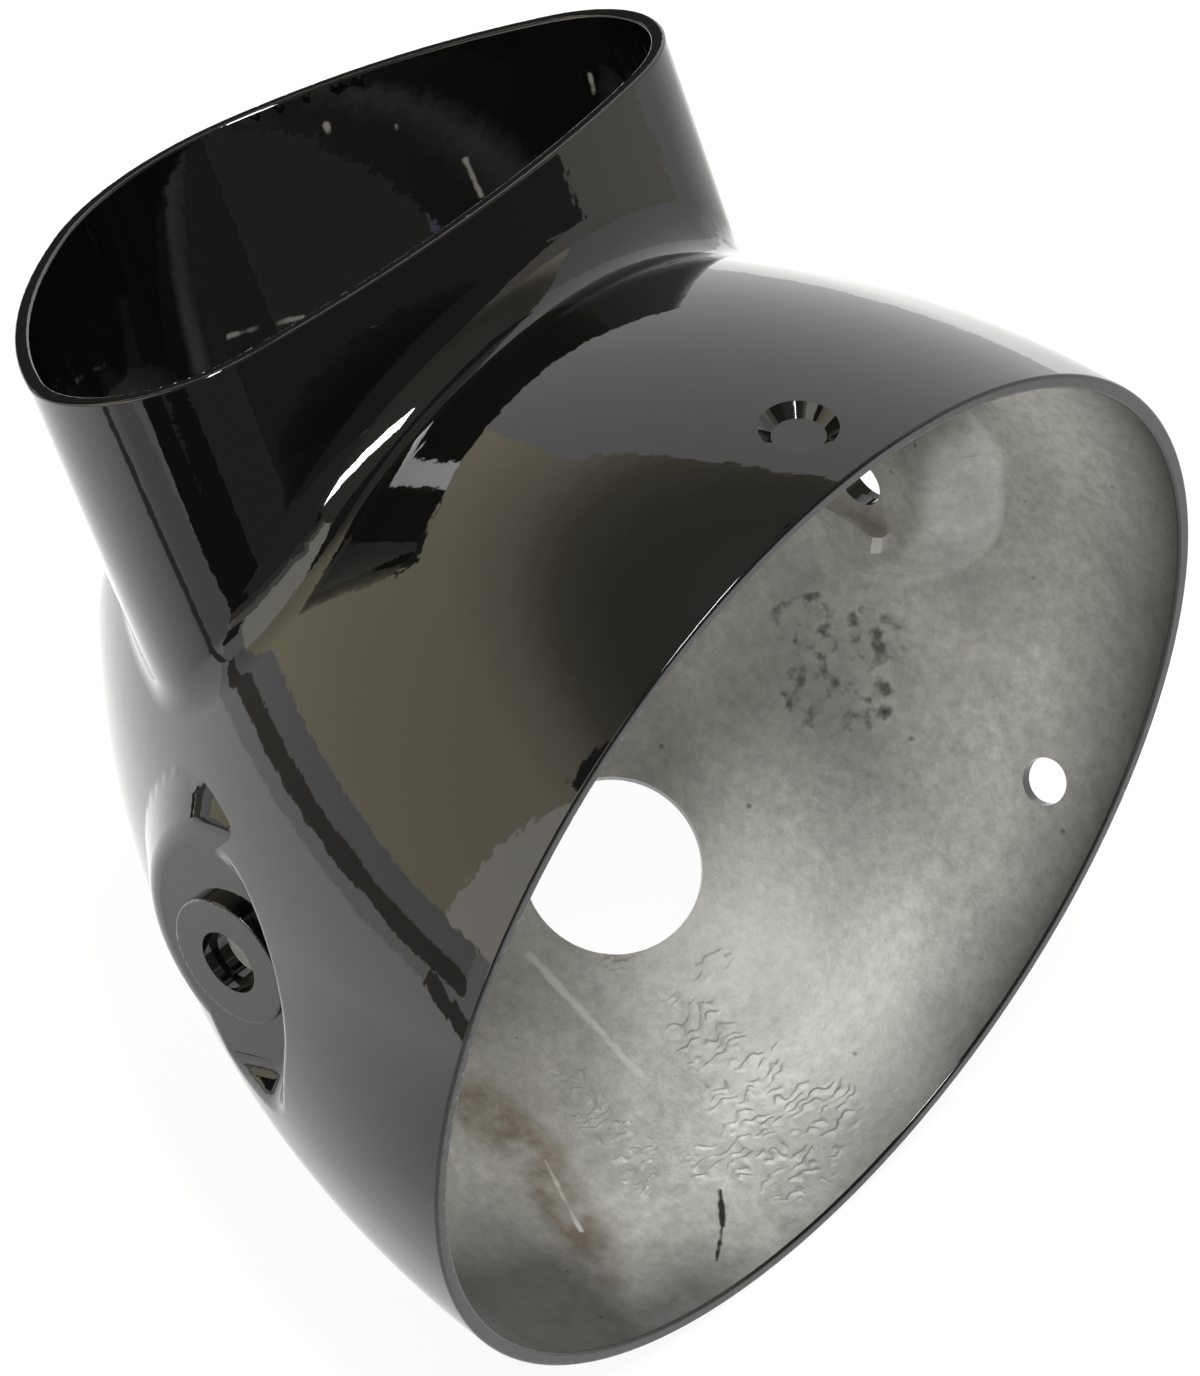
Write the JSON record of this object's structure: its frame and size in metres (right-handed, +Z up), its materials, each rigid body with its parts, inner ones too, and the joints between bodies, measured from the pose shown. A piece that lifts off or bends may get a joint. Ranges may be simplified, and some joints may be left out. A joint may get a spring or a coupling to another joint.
{
  "type": "headlight bowl",
  "caption": "Cast headlight bowl with a leaning instrument cup on top, side seats for the mounting bolts and a cable hole low in the back.",
  "frame": {"origin": "centre of the circle of the front rim, in the plane of its land", "axes": "-Y out of the lamp opening, +Y to the back, +Z up towards the instrument cup, +X to the right as seen by someone who looks into the lamp opening"},
  "size_m": [0.18, 0.1529, 0.18],
  "materials": {
    "casting": "gloss black paint outside and in the cup, bare cast metal inside the bowl"
  },
  "bodies": {
    "root": {"headlight_bowl": "casting"}
  },
  "joints": []
}
